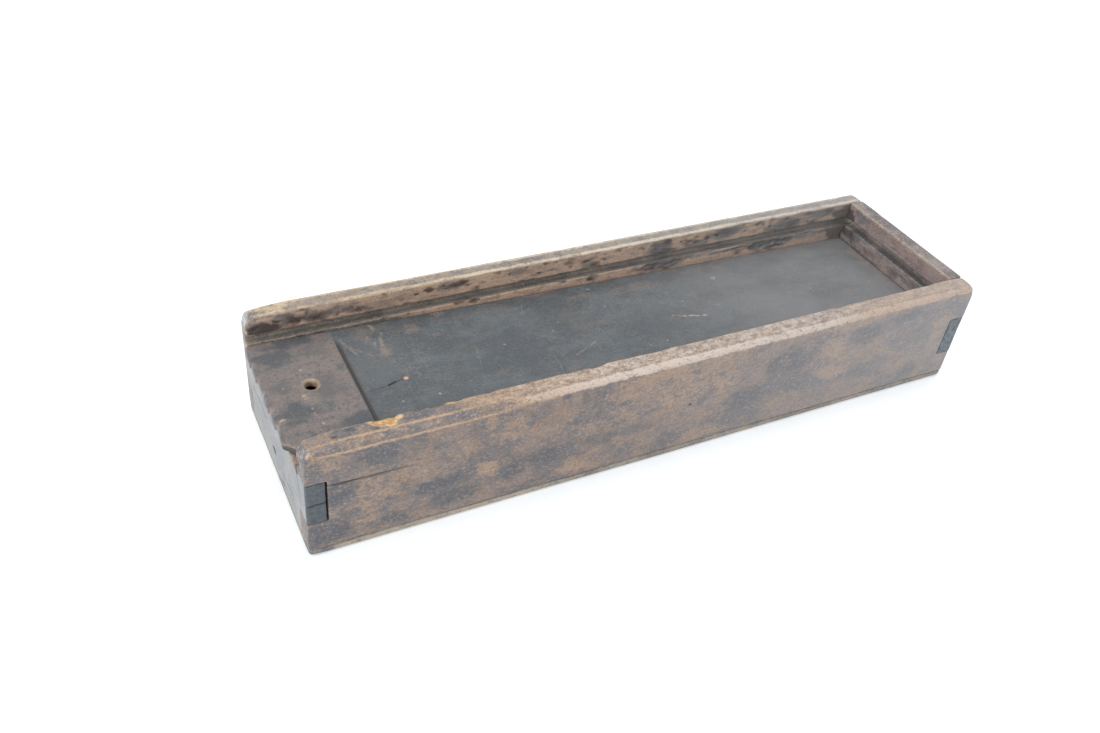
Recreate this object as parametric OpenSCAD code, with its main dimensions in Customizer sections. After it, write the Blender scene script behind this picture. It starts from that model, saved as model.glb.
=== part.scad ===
// Slide-lid wooden case with its bench stone, built board by board.
// Millimetres. +X runs along the case towards the closed far end, +Y towards the back side
// and +Z up. The origin is the middle of the base, on the surface that the case stands on.

/* [Case] */
// Outside length of the case
case_l = 230; // [215:1:260]
// Outside width of the case
case_w = 65.6; // [64:0.1:75]
// Height from the table to the rims
case_h = 38.2; // [37:0.1:42]
// Thickness of the front side
front_t = 7.0; // [6.8:0.1:7.5]
// Thickness of the back side
back_t = 6.0; // [5.8:0.1:6.4]
// Thickness of both end walls
end_t = 5.5; // [5:0.1:6]
// Thickness of the bottom board, planted under the frame
base_t = 2.2; // [2:0.1:2.6]
// Rounding of the two near corners of the rims
rim_r = 3.2; // [2:0.1:5]

/* [Lid groove] */
// Height of the groove's floor
groove_z = 28.7; // [28:0.1:29.5]
// Height of the groove's mouth
groove_h = 3.3; // [3:0.1:4]
// Depth of the groove into the wood
groove_depth = 2.8; // [1.5:0.1:3]

/* [Corner joints] */
// Height at which the near tenons begin
near_tenon_z = 12.2; // [11:0.1:14]
// Height at which the near tenons end
near_tenon_top = 27.0; // [26.2:0.1:27.4]
// Height of the low near wall between the sides
near_top = 26.1; // [25:0.1:26.1]
// Height at which the far tenons begin
far_tenon_z = 10.8; // [10.5:0.1:14]
// Height at which the far tenons end
far_tenon_top = 25.8; // [24:0.1:27]
// Shrinkage gap behind the near front tenon
joint_gap = 0.5; // [0.2:0.1:1]

/* [Sliding lid] */
// Thickness of the lid
lid_t = 2.4; // [2.2:0.1:2.4]
// How far the lid stands out over the near wall
lid_overhang = 1.4; // [1:0.1:3]
// Slope of the lid, down towards the far end, in degrees
lid_tilt = 1.39; // [1.3:0.01:1.39]
// Height of the lid's top at its near edge
lid_top_z = 28.93; // [28.93:0.01:29.3]
// Free play at each long edge and at the far end
lid_play = 0.3; // [0.25:0.05:0.5]
// Radius of the hole for a pull peg
peg_hole_r = 1.8; // [1.5:0.1:2.5]
// Depth of the chipped steps along the near edge
chip_step = 0.5; // [0.2:0.1:0.8]

/* [Thumb notch] */
// Distance from the lid's near edge to the notch's straight wall
notch_x = 25.8; // [20:0.1:35]
// Distance from the lid's near edge to the centre of the notch's round end
notch_centre_x = 11.2; // [8:0.1:15]
// Radius of the notch's round end
notch_r = 28.4; // [24:0.1:30]
// Greatest depth of the notch, at the middle of its straight wall
notch_depth = 1.2; // [0.6:0.1:1.4]

/* [Whetstone] */
// Length of the stone
stone_l = 212; // [150:1:212]
// Width of the stone, nominally two inches
stone_w = 51; // [48:0.1:51.2]
// Thickness of the stone, three quarters of an inch less wear
stone_h = 18.6; // [15:0.1:18.6]
// Chamfer along the stone's long arrises
stone_chamfer = 0.8; // [0.3:0.1:2]

/* [Bottom brads] */
// Radius of a brad's shank
brad_r = 0.6; // [0.5:0.1:0.8]
// Full length of a brad
brad_l = 9; // [7:0.5:10]
// Radius of a brad's flat head
brad_head_r = 1.2; // [1:0.1:1.5]
// Thickness of a brad's head
brad_head_h = 0.6; // [0.4:0.1:0.8]

/* [Hidden] */
$fn = 48;
eps = 0.01;
brown = "#6e5a4c";
brown_pale = "#80705f";
grey_brown = "#5d5450";
slate = "#4c5155";
buff = "#a39c86";
iron = "#43403e";

// The lid leans, so its lower near edge stands out a little further than its overhang.
// The case sits so that the whole object, with that edge, is centred on the origin.
low_edge_lean = lid_t * sin(lid_tilt);
near_x = (lid_overhang + low_edge_lean) / 2 - case_l / 2;
far_x = near_x + case_l;
front_y = -case_w / 2;
back_y = case_w / 2;
inner_front_y = front_y + front_t;
inner_back_y = back_y - back_t;
inner_w = inner_back_y - inner_front_y;
inner_near_x = near_x + end_t;
inner_far_x = far_x - end_t;
inner_l = inner_far_x - inner_near_x;
lip_z = groove_z + groove_h;

lid_l = (case_l - end_t - lid_play + lid_overhang) / cos(lid_tilt);
lid_w = inner_w - 2 * lid_play;
peg_hole_x = 13.8;
peg_hole_y = lid_w * 0.565;
notch_slope = notch_depth / (notch_r - (notch_x - notch_centre_x));

// Widths of the chips along the lid's near edge, from the back, and the lost front corner
chip_w = [8.4, 6.6, 13.6, 7.1, 7.3];
lost_corner = [3.2, 9.0];

// Places of the brads under the two sides and the two ends
side_brad_x = [-102, -36, 34, 104];
end_brad_y = -2;

// A box from one corner to the opposite one
module block(low, high) {
    translate(low) cube(high - low);
}

// Outline of a side board seen from the front, with its near upper corner rounded
module side_outline() {
    difference() {
        translate([near_x, base_t]) square([case_l, case_h - base_t]);
        difference() {
            translate([near_x - eps, case_h - rim_r]) square([rim_r + eps, rim_r + eps]);
            translate([near_x + rim_r, case_h - rim_r]) circle(r = rim_r);
        }
    }
}

// A side board from y_low to y_high, with the lid's groove in the face at y_groove
module side_board(y_low, y_high, groove_low, groove_high, near_slot) {
    difference() {
        translate([0, y_high, 0]) rotate([90, 0, 0])
            linear_extrude(y_high - y_low) side_outline();
        block([near_x - 1, groove_low, groove_z],
              [inner_far_x + groove_depth, groove_high, lip_z]);
        block([near_x - 1, y_low - 1, near_tenon_z],
              [near_x + near_slot, y_high + 1, near_tenon_top]);
        block([inner_far_x, y_low - 1, far_tenon_z],
              [far_x + 1, y_high + 1, far_tenon_top]);
        brad_bores();
    }
}

module front_side() {
    color(brown)
        side_board(front_y, inner_front_y, inner_front_y - groove_depth,
                   inner_front_y + 1, end_t + joint_gap);
}

module back_side() {
    color(brown_pale)
        side_board(inner_back_y, back_y, inner_back_y - 1,
                   inner_back_y + groove_depth, end_t);
}

// The low wall that the lid slides out over, with a tenon through each side
module near_end_wall() {
    color(grey_brown) difference() {
        union() {
            block([near_x, inner_front_y, base_t], [inner_near_x, inner_back_y, near_top]);
            block([near_x, front_y, near_tenon_z],
                  [inner_near_x, inner_front_y, near_tenon_top]);
            block([near_x, inner_back_y, near_tenon_z],
                  [inner_near_x, back_y, near_tenon_top]);
        }
        brad_bores();
    }
}

// The full-height closed end, with the groove carried round it and its own tenons
module far_end_wall() {
    color(grey_brown) difference() {
        union() {
            block([inner_far_x, inner_front_y, base_t], [far_x, inner_back_y, case_h]);
            block([inner_far_x, front_y, far_tenon_z], [far_x, back_y, far_tenon_top]);
        }
        block([inner_far_x - 1, front_y, groove_z],
              [inner_far_x + groove_depth, back_y, lip_z]);
        brad_bores();
    }
}

module bottom_board() {
    color(brown_pale) difference() {
        block([near_x, front_y, 0], [far_x, back_y, base_t]);
        brad_bores();
    }
}

// Places a child at every brad
module at_brads() {
    for (x = side_brad_x) {
        translate([x, front_y + front_t / 2, 0]) children();
        translate([x, back_y - back_t / 2, 0]) children();
    }
    translate([near_x + end_t / 2, end_brad_y, 0]) children();
    translate([far_x - end_t / 2, end_brad_y, 0]) children();
}

module brad_shape() {
    cylinder(r = brad_head_r, h = brad_head_h);
    cylinder(r = brad_r, h = brad_l);
}

module brad_bores() {
    at_brads() brad_shape();
}

module bottom_brads() {
    color(iron) at_brads() brad_shape();
}

// Sum of the first n chip widths
function chips_before(n) = n == 0 ? 0 : chip_w[n - 1] + chips_before(n - 1);

// Plan of the lid in its own plane: near edge at x = 0, front edge at y = 0
module lid_outline() {
    near_edge = [for (i = [0:len(chip_w) - 1], end = [0, 1])
        [end == 0 ? chip_step : 0, lid_w - chips_before(i + end)]];
    last_y = lid_w - chips_before(len(chip_w));
    polygon(concat(
        [[lid_l, 0], [lid_l, lid_w]],
        near_edge,
        [[1.2, last_y - 0.4], [2.4, lost_corner[1] - 3.5], [lost_corner[0], 0]]));
}

// A shallow dish, cut off by the straight wall and running out to nothing at its round end
module notch_cutter() {
    dish_h = notch_slope * notch_r;
    intersection() {
        translate([notch_centre_x, lid_w / 2, -dish_h])
            cylinder(r1 = 0, r2 = notch_r, h = dish_h);
        translate([notch_x, -1, -dish_h]) cube([2 * notch_r, lid_w + 2, 2 * dish_h]);
    }
}

module sliding_lid() {
    color(slate)
        translate([near_x - lid_overhang, inner_front_y + lid_play, lid_top_z])
        rotate([0, lid_tilt, 0])
        difference() {
            translate([0, 0, -lid_t]) linear_extrude(lid_t) lid_outline();
            translate([peg_hole_x, peg_hole_y, -lid_t - 1]) cylinder(r = peg_hole_r, h = lid_t + 2);
            notch_cutter();
        }
}

// The stone lies flat on the bottom board, in the middle of the case
module whetstone() {
    c = stone_chamfer;
    stone_x = inner_near_x + (inner_l - stone_l) / 2;
    stone_y = inner_front_y + (inner_w - stone_w) / 2;
    color(buff)
        translate([stone_x, stone_y, base_t])
        rotate([90, 0, 90])
        linear_extrude(stone_l)
        polygon([[c, 0], [stone_w - c, 0], [stone_w, c], [stone_w, stone_h - c],
                 [stone_w - c, stone_h], [c, stone_h], [0, stone_h - c], [0, c]]);
}

front_side();
back_side();
near_end_wall();
far_end_wall();
bottom_board();
sliding_lid();
whetstone();
bottom_brads();
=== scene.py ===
"""The looks of a cased whetstone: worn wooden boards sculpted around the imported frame."""
import math

import bpy
import numpy as np
from mathutils import Matrix, Vector


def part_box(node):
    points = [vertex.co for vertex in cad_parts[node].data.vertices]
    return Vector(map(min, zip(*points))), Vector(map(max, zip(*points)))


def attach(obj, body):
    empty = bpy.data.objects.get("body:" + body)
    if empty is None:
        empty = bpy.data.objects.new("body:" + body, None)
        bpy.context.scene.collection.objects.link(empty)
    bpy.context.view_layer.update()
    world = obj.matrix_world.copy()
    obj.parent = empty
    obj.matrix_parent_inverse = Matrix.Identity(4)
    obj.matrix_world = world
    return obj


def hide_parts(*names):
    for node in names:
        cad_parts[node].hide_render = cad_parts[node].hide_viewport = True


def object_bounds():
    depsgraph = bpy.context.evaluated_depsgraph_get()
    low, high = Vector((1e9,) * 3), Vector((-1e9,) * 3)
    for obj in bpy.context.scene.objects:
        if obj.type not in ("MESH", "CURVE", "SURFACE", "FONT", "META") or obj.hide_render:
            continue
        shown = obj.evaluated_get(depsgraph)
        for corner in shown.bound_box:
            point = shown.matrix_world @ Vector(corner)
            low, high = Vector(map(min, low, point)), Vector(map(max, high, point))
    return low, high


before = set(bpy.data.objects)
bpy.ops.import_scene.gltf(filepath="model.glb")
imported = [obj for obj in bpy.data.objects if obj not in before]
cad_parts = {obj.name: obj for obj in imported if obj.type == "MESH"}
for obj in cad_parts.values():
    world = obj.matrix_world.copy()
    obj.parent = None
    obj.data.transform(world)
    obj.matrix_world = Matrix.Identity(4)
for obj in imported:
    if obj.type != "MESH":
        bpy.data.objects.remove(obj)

cad_low, cad_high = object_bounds()
MM = 0.001               # the sculpting grids work in millimetres
CASE, LID = "case", "lid"


def node_box(name):
    """A CAD node's lowest and highest corners, in millimetres."""
    low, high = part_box(name)
    return np.array(low, float) / MM, np.array(high, float) / MM


# Places that several boards share, all in millimetres
FRONT_LOW, FRONT_HIGH = node_box("front_side")
BACK_LOW, BACK_HIGH = node_box("back_side")
NEAR_LOW, NEAR_HIGH = node_box("near_end_wall")
FAR_LOW, FAR_HIGH = node_box("far_end_wall")
BASE_LOW, BASE_HIGH = node_box("bottom_board")
STONE_LOW, STONE_HIGH = node_box("whetstone")
NEAR_X, FAR_X = FRONT_LOW[0], FRONT_HIGH[0]
INNER_NEAR_X, INNER_FAR_X = NEAR_HIGH[0], FAR_LOW[0]
FRONT_Y, BACK_Y = FRONT_LOW[1], BACK_HIGH[1]
INNER_FRONT_Y, INNER_BACK_Y = FRONT_HIGH[1], BACK_LOW[1]
RIM_Z = FRONT_HIGH[2]
RIM_R = 3.2
GROOVE_Z, LIP_Z, GROOVE_DEPTH = 28.7, 32.0, 2.8
NEAR_TENON_Z, NEAR_TENON_TOP, NEAR_TOP = 12.2, NEAR_HIGH[2], 26.1
FAR_TENON_Z, FAR_TENON_TOP = 10.8, 25.8
JOINT_GAP = 0.5
BEYOND = 4.0             # cutters run this far past the wood
GRID_PAD = 2.4           # and the sculpting grids this far
WORM_DEPTH = 2.5

# The lid lies in a plane of its own: near edge at x = 0, front edge at y = 0, top at z = 0
LID_TILT = math.radians(1.39)
LID_T, LID_OVERHANG, LID_PLAY, LID_TOP_Z = 2.4, 1.4, 0.3, 28.93
LID_L = (INNER_FAR_X - LID_PLAY - NEAR_X + LID_OVERHANG) / math.cos(LID_TILT)
LID_W = INNER_BACK_Y - INNER_FRONT_Y - 2 * LID_PLAY
LID_CORNER = (NEAR_X - LID_OVERHANG, INNER_FRONT_Y + LID_PLAY, LID_TOP_Z)
PEG_HOLE, PEG_HOLE_R = (13.8, LID_W * 0.565), 1.8
CHIP_WIDTHS, CHIP_STEP = (8.4, 6.6, 13.6, 7.1, 7.3), 0.5
NOTCH_X, NOTCH_CENTRE_X, NOTCH_R, NOTCH_DEPTH = 25.8, 11.2, 28.4, 1.2


def at(along, across, up):
    """A point measured from the case's near front lower corner, in millimetres."""
    return (NEAR_X + along, FRONT_Y + across, up)


# -------------------------------- sculpting

MASKS = ("wear_and_highlight", "painted_shade", "stain", "bare", "brown", "patina", "chalk_and_sheen")
CUBE = [(i, j, k) for i in (0, 1) for j in (0, 1) for k in (0, 1)]


def smooth(value, low, high):
    """A smooth step from 0 at low to 1 at high."""
    t = np.clip((value - low) / (high - low), 0.0, 1.0)
    return t * t * (3.0 - 2.0 * t)


def shaped(line, k):
    """A line of numbers turned to lie along axis k of a grid."""
    return line.reshape([-1 if a == k else 1 for a in range(3)])


class Sculpt:
    """A solid kept as distances to its surface on a grid, in millimetres and negative inside."""

    def __init__(self, low, high, step, seed, fine=(0.0, 1.0)):
        """fine is how far from the low X end the grid is finer, and by what factor."""
        self.low, self.high, self.seed = np.array(low, float), np.array(high, float), seed
        self.axes = [np.arange(a - GRID_PAD, b + GRID_PAD + s, s) for a, b, s in zip(low, high, step)]
        reach, factor = fine
        if reach:
            split = low[0] + reach
            near = np.arange(low[0] - GRID_PAD, split, step[0] * factor)
            far = np.arange(split, high[0] + GRID_PAD + step[0], step[0])
            self.axes[0] = np.concatenate([near, far])
        self.x, self.y, self.z = (shaped(axis, k) for k, axis in enumerate(self.axes))
        self.d = None
        self.masks = {}
        self.fray = 0.30 * self.noise((3.2, 1.6, 1.6), 900) + 0.20 * self.noise(0.9, 901)

    def box_distance(self, low, high, radius):
        """Distance to a box. Its limits and the radius of its arrises may be numbers or fields."""
        q = [np.abs(p - (a + b) / 2) - (b - a) / 2 + radius
             for p, a, b in zip((self.x, self.y, self.z), low, high)]
        outside = np.sqrt(sum(np.maximum(v, 0.0) ** 2 for v in q))
        return outside + np.minimum(np.maximum(np.maximum(q[0], q[1]), q[2]), 0.0) - radius

    def near(self, point, reach):
        """1 at a point, falling to 0 over reach millimetres. None in point means everywhere."""
        total = 0.0
        for p, c, r in zip((self.x, self.y, self.z), point, np.broadcast_to(reach, 3)):
            if c is not None:
                total = total + ((p - c) / r) ** 2
        return np.exp(-total)

    def noise(self, cell, seed):
        """Smooth random values from -1 to 1 that change over about cell millimetres."""
        cell = np.broadcast_to(cell, 3)
        rng = np.random.default_rng(self.seed * 1000 + seed)
        sizes = [int((axis[-1] - axis[0]) / c) + 3 for axis, c in zip(self.axes, cell)]
        field = rng.uniform(-1.0, 1.0, sizes)
        for k, (axis, c) in enumerate(zip(self.axes, cell)):
            t = (axis - axis[0]) / c
            i = t.astype(int)
            t = t - i
            t = shaped(t * t * (3.0 - 2.0 * t), k)
            field = np.take(field, i, k) * (1.0 - t) + np.take(field, i + 1, k) * t
        return field

    def cut(self, distance):
        """Takes away what lies inside another solid."""
        self.d = np.maximum(self.d, -distance)

    def cut_box(self, low, high, radius=0.15):
        self.cut(self.box_distance(low, high, radius))

    def chip(self, centre, radii, ragged, seed, bare=0.0, stain=0.0):
        """Breaks out a ragged hollow, and colours the wood in it."""
        radii = np.array(radii, float)
        q = sum(((p - c) / r) ** 2 for p, c, r in zip((self.x, self.y, self.z), centre, radii))
        hollow = (np.sqrt(q) - 1.0) * radii.min()
        hollow = hollow + ragged * self.noise((1.8, 0.9, 0.9), seed)
        self.cut(hollow)
        inside = 1.0 - smooth(hollow, 0.1, 0.5)
        self.paint("bare", bare * inside)
        self.paint("stain", stain * inside)

    def worm(self, centre, radius):
        """A worm hole, running in along Y from a surface point."""
        along = self.y - centre[1]
        across = np.sqrt((self.x - centre[0]) ** 2 + (self.z - centre[2]) ** 2) - radius
        self.cut(np.maximum(across, np.maximum(along - WORM_DEPTH, -along - 1.0)))
        self.paint("stain", 1.0 - smooth(across, 0.0, 0.35))

    def dent(self, depth):
        """Lowers the surface by a field of depths."""
        self.d = self.d + np.maximum(depth, 0.0)

    def paint(self, name, amount):
        self.masks[name] = np.maximum(self.masks.get(name, 0.0), amount)

    def patch(self, name, centre, reach, amount=1.0):
        """Paints a soft ragged spot round a point."""
        self.paint(name, amount * smooth(self.near(centre, reach) + self.fray, 0.08, 0.80))

    def blurred(self, reach):
        """The distance field averaged over a box reaching that far each way."""
        field = self.d
        for k, axis in enumerate(self.axes):
            weight = np.gradient(axis)
            total = np.cumsum(field * shaped(weight, k), k)
            run = np.cumsum(weight)
            ends = np.clip(np.searchsorted(axis, axis + reach), 0, len(axis) - 1)
            starts = np.clip(np.searchsorted(axis, axis - reach) - 1, 0, len(axis) - 1)
            span = shaped(run[ends] - run[starts], k)
            field = (np.take(total, ends, k) - np.take(total, starts, k)) / span
        return field

    def mark_wear(self, reach=1.3, rub=1.0):
        """Finds rubbed outer corners from the shape itself, and darkens the inner ones as painted shade."""
        bend = (self.blurred(reach) - self.d) / reach
        self.paint("wear_and_highlight", rub * smooth(bend, 0.07, 0.30))
        self.paint("painted_shade", smooth(-bend, 0.07, 0.32))

    def surface(self):
        """Points, in grid cells, and four-sided faces: one point in each cell the surface crosses."""
        d, inside = self.d, self.d < 0.0
        shape = np.array(d.shape) - 1

        def corner(field, c):
            return field[tuple(slice(o, o + n) for o, n in zip(c, shape))]

        count = sum(corner(inside, c).astype(np.int8) for c in CUBE)
        cells = np.argwhere((count > 0) & (count < 8))
        number = np.full(shape, -1, np.int64)
        number[tuple(cells.T)] = np.arange(len(cells))
        values = [d[tuple((cells + c).T)] for c in CUBE]
        total, hits = np.zeros((len(cells), 3)), np.zeros(len(cells))
        for a, low in enumerate(CUBE):
            for b, high in enumerate(CUBE):
                if b <= a or sum(abs(u - v) for u, v in zip(low, high)) != 1:
                    continue
                crosses = (values[a] < 0.0) != (values[b] < 0.0)
                span = np.where(crosses, values[a] - values[b], 1.0)
                t = np.where(crosses, values[a] / span, 0.0)[:, None]
                point = np.array(low) * (1.0 - t) + np.array(high) * t
                total += np.where(crosses[:, None], point, 0.0)
                hits += crosses
        faces = []
        for axis in range(3):
            u, v = [k for k in range(3) if k != axis]
            first = inside[tuple(slice(0, -1) if k == axis else slice(1, -1) for k in range(3))]
            last = inside[tuple(slice(1, None) if k == axis else slice(1, -1) for k in range(3))]
            for outward in (True, False):
                edge = np.argwhere((first == outward) & (last != outward))
                edge[:, [u, v]] += 1
                ring = []
                for du, dv in ((0, 0), (-1, 0), (-1, -1), (0, -1)):
                    cell = edge.copy()
                    cell[:, u] += du
                    cell[:, v] += dv
                    ring.append(number[tuple(cell.T)])
                ring = np.stack(ring, 1)
                faces.append(ring[:, ::-1] if outward == (axis == 1) else ring)
        return cells + total / hits[:, None], np.concatenate(faces)

    def sampled(self, field, points):
        """A field's values at points given in grid cells."""
        field = np.broadcast_to(field, self.d.shape)
        base = np.clip(points.astype(int), 0, np.array(field.shape) - 2)
        t = points - base
        out = 0.0
        for c in CUBE:
            weight = np.prod([t[:, k] if c[k] else 1.0 - t[:, k] for k in range(3)], axis=0)
            out = out + weight * field[tuple((base + c).T)]
        return out

    def build(self, node, material, body, slot, place=None):
        """Makes the piece that stands for a CAD node. place moves it out of a plane of its own."""
        cells, faces = self.surface()
        points = np.stack([np.interp(cells[:, k], np.arange(len(axis)), axis)
                           for k, axis in enumerate(self.axes)], 1) * MM
        mesh = bpy.data.meshes.new(node + "_worn")
        mesh.vertices.add(len(points))
        mesh.vertices.foreach_set("co", points.astype(np.float32).ravel())
        mesh.loops.add(faces.size)
        mesh.loops.foreach_set("vertex_index", faces.astype(np.int32).ravel())
        mesh.polygons.add(len(faces))
        mesh.polygons.foreach_set("loop_start", np.arange(0, faces.size, 4, dtype=np.int32))
        mesh.update(calc_edges=True)
        mesh.validate()
        for name in MASKS:
            attribute = mesh.attributes.new(name, "FLOAT", "POINT")
            field = self.masks.get(name, 0.0) * np.ones((1, 1, 1))
            attribute.data.foreach_set("value", self.sampled(field, cells).astype(np.float32))
        if place is not None:
            mesh.transform(place)
        mesh.shade_smooth()
        mesh.materials.append(material)
        piece = bpy.data.objects.new(node + "_worn", mesh)
        bpy.context.scene.collection.objects.link(piece)
        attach(piece, body)
        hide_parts(node)


# -------------------------------- materials

def colour(code):
    """A display colour such as "8c8075" as linear light, with alpha."""
    parts = [int(code[i:i + 2], 16) / 255 for i in (0, 2, 4)]
    return [c / 12.92 if c <= 0.04045 else ((c + 0.055) / 1.055) ** 2.4 for c in parts] + [1.0]


class Paint:
    """Builds a material's nodes with short calls."""

    def __init__(self, name):
        self.material = bpy.data.materials.new(name)
        self.material.use_nodes = True
        self.tree = self.material.node_tree
        self.shader = self.tree.nodes["Principled BSDF"]
        self.place = self.node("ShaderNodeTexCoord").outputs["Object"]

    def node(self, kind, **settings):
        made = self.tree.nodes.new(kind)
        for key, value in settings.items():
            setattr(made, key, value)
        return made

    def put(self, socket, value):
        if isinstance(value, bpy.types.NodeSocket):
            self.tree.links.new(value, socket)
        else:
            socket.default_value = value

    def set(self, name, value):
        """Feeds one of the shader's inputs."""
        self.put(self.shader.inputs[name], value)

    def math(self, operation, a, b=0.0, clamp=False):
        made = self.node("ShaderNodeMath", operation=operation, use_clamp=clamp)
        self.put(made.inputs[0], a)
        self.put(made.inputs[1], b)
        return made.outputs[0]

    def vector(self, operation, a, b=(0.0, 0.0, 0.0), scale=1.0):
        made = self.node("ShaderNodeVectorMath", operation=operation)
        self.put(made.inputs[0], a)
        if operation == "SCALE":
            self.put(made.inputs["Scale"], scale)
        else:
            self.put(made.inputs[1], b)
        return made.outputs["Value" if operation in ("DOT_PRODUCT", "LENGTH") else "Vector"]

    def noise(self, size, detail, rough, seed):
        """Noise whose features are size millimetres long, per axis."""
        place = self.vector("MULTIPLY", self.place, [1.0 / (s * MM) for s in np.broadcast_to(size, 3)])
        made = self.node("ShaderNodeTexNoise", noise_dimensions="4D")
        self.put(made.inputs["Vector"], place)
        for key, value in (("W", seed), ("Scale", 1.0), ("Detail", detail), ("Roughness", rough)):
            made.inputs[key].default_value = value
        return made.outputs["Fac"]

    def spread(self, value, low, high, to_low=0.0, to_high=1.0):
        """Maps low..high to to_low..to_high smoothly, and stops at both ends."""
        made = self.node("ShaderNodeMapRange", interpolation_type="SMOOTHSTEP")
        for socket, v in zip(made.inputs, (value, low, high, to_low, to_high)):
            self.put(socket, v)
        return made.outputs[0]

    def blend(self, factor, a, b):
        made = self.node("ShaderNodeMix", data_type="RGBA")
        for socket, value in zip([made.inputs[0], made.inputs[6], made.inputs[7]], (factor, a, b)):
            self.put(socket, value)
        return made.outputs[2]

    def mask(self, name):
        return self.node("ShaderNodeAttribute", attribute_name=name).outputs["Fac"]

    def along(self, axis):
        """The position along one axis, in millimetres."""
        made = self.node("ShaderNodeSeparateXYZ")
        self.put(made.inputs[0], self.place)
        return self.math("MULTIPLY", made.outputs[axis], 1.0 / MM)

    def line(self, start, end, width, wobble, flat):
        """1 on a thin line between two points, in millimetres. flat squashes an axis out."""
        flat = np.array(flat)
        a, b = np.array(start) * flat, np.array(end) * flat
        p = self.vector("MULTIPLY", self.place, list(flat / MM))
        if wobble:
            made = self.node("ShaderNodeTexNoise")
            self.put(made.inputs["Vector"], p)
            made.inputs["Scale"].default_value = 0.35
            shift = self.vector("SUBTRACT", made.outputs["Color"], (0.5, 0.5, 0.5))
            p = self.vector("ADD", p, self.vector("SCALE", shift, scale=wobble))
        away = self.vector("SUBTRACT", p, list(a))
        run = b - a
        t = self.math("DIVIDE", self.vector("DOT_PRODUCT", away, list(run)), float(run @ run), True)
        nearest = self.vector("SCALE", list(run), scale=t)
        gap = self.vector("LENGTH", self.vector("SUBTRACT", away, nearest))
        return self.spread(gap, width, width * 0.4)

    def lines(self, rows, flat=(1.0, 1.0, 1.0)):
        """The strongest of several lines, each (start, end, width, wobble, strength)."""
        total = 0.0
        for start, end, width, wobble, strength in rows:
            one = self.math("MULTIPLY", self.line(start, end, width, wobble, flat), strength)
            total = self.math("MAXIMUM", total, one)
        return total

    def bump(self, height, depth, normal=None):
        """Turns a height from 0 to 1 into relief depth millimetres deep."""
        made = self.node("ShaderNodeBump")
        made.inputs["Distance"].default_value = depth * MM
        self.put(made.inputs["Height"], height)
        if normal is not None:
            self.put(made.inputs["Normal"], normal)
        return made.outputs[0]


def weathered(p, tones, seed, streak_size=(26, 0.9, 0.9), wear_and_highlight=None):
    """Colours a board: blotched patina, mottled grain, and the marks that the sculpting found."""
    tone = {key: colour(value) for key, value in tones.items()}
    blotch = p.noise((15, 10, 10), 8.0, 0.66, seed)
    mottle = p.noise((3.6, 2.4, 2.4), 5.0, 0.72, seed + 1)
    fleck = p.noise((0.8, 0.6, 0.6), 3.0, 0.75, seed + 2)
    warm = p.noise((9, 6, 6), 8.0, 0.70, seed + 3)
    streak = p.noise(streak_size, 4.0, 0.65, seed + 4)
    frayed = p.math("ADD", p.math("MULTIPLY", p.math("SUBTRACT", mottle, 0.5), 1.7),
                    p.math("MULTIPLY", p.math("SUBTRACT", fleck, 0.5), 1.1))

    def marked(name, low, high, strength):
        return p.spread(p.math("ADD", p.mask(name), frayed), low, high, 0.0, strength)

    base = p.blend(p.spread(blotch, 0.42, 0.58), tone["dark"], tone["light"])
    base = p.blend(p.spread(warm, 0.50, 0.62, 0.0, 0.55), base, tone["tan"])
    base = p.blend(marked("brown", 0.15, 1.05, 0.85), base, tone["brown"])
    base = p.blend(marked("patina", 0.10, 0.90, 0.90), base, tone["patina"])
    base = p.blend(p.spread(mottle, 0.51, 0.62, 0.0, 0.38), base, tone["tan"])
    base = p.blend(p.spread(mottle, 0.49, 0.38, 0.0, 0.38), base, tone["dark"])
    base = p.blend(p.spread(streak, 0.46, 0.74, 0.0, 0.30), base, tone["dark"])
    fresh = p.blend(p.spread(mottle, 0.42, 0.58), colour("b98c55"), colour("dfc49a"))
    base = p.blend(p.spread(p.mask("bare"), 0.1, 0.8), base, fresh)
    base = p.blend(marked("wear_and_highlight", 0.20, 0.50, 0.6), base, tone["tan"])
    base = p.blend(marked("wear_and_highlight", 0.45, 1.05, 0.85), base, wear_and_highlight or tone["wear_and_highlight"])
    # pale bluish grey: chalky wear, and painted sheen on the near corners and in the groove
    base = p.blend(marked("chalk_and_sheen", 0.3, 1.0, 0.8), base, colour("b4bac2"))
    base = p.blend(p.spread(fleck, 0.51, 0.68, 0.0, 0.50), base, tone["pale"])
    base = p.blend(p.spread(fleck, 0.49, 0.32, 0.0, 0.55), base, tone["deep"])
    base = p.blend(marked("stain", 0.25, 1.2, 0.9), base, tone["stain"])
    # painted shade: inner creases, and the dish behind the notch's wall, darkened toward 2e2927
    base = p.blend(p.spread(p.mask("painted_shade"), 0.1, 0.9, 0.0, 0.7), base, colour("2e2927"))
    relief = p.bump(streak, 0.18)
    relief = p.bump(mottle, 0.20, relief)
    p.set("Normal", p.bump(fleck, 0.14, relief))
    p.set("Roughness", p.spread(blotch, 0.3, 0.7, 0.52, 0.75))
    return base


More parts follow.
